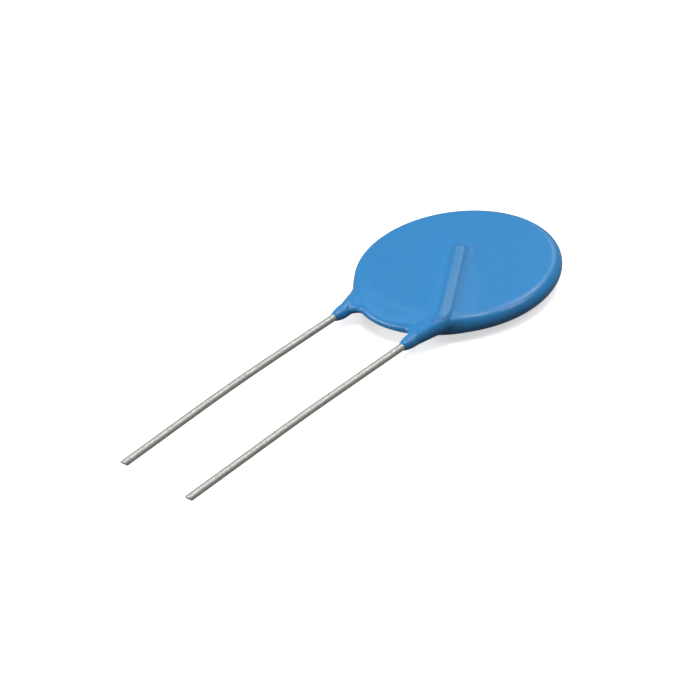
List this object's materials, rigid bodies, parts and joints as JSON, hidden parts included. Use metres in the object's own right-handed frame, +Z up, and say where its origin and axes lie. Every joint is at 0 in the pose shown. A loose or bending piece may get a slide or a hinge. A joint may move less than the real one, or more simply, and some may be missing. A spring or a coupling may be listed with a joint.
{
  "type": "varistor",
  "caption": "Disc varistor with a blue dip coat over the disc and its wires, and straight tinned leads for a circuit board; it clamps voltage surges.",
  "frame": {"origin": "middle of the underside of the whole part's box, at the lowest point of the ridge on the back face", "axes": "+Z up out of the front face of the disc as it lies flat; the leads point towards -Y and are side by side along X, with the front lead at +X"},
  "size_m": [0.0224, 0.0566, 0.0036],
  "materials": {
    "blue_epoxy": "satin",
    "zinc_oxide": "matte",
    "fired_silver": "matte",
    "tinned_wire": "satin",
    "solder": "satin"
  },
  "bodies": {
    "root": {"coating": "blue_epoxy", "ceramic_disc": "zinc_oxide", "front_electrode": "fired_silver", "back_electrode": "fired_silver", "front_lead": "tinned_wire", "back_lead": "tinned_wire", "front_solder": "solder", "back_solder": "solder"}
  },
  "joints": []
}
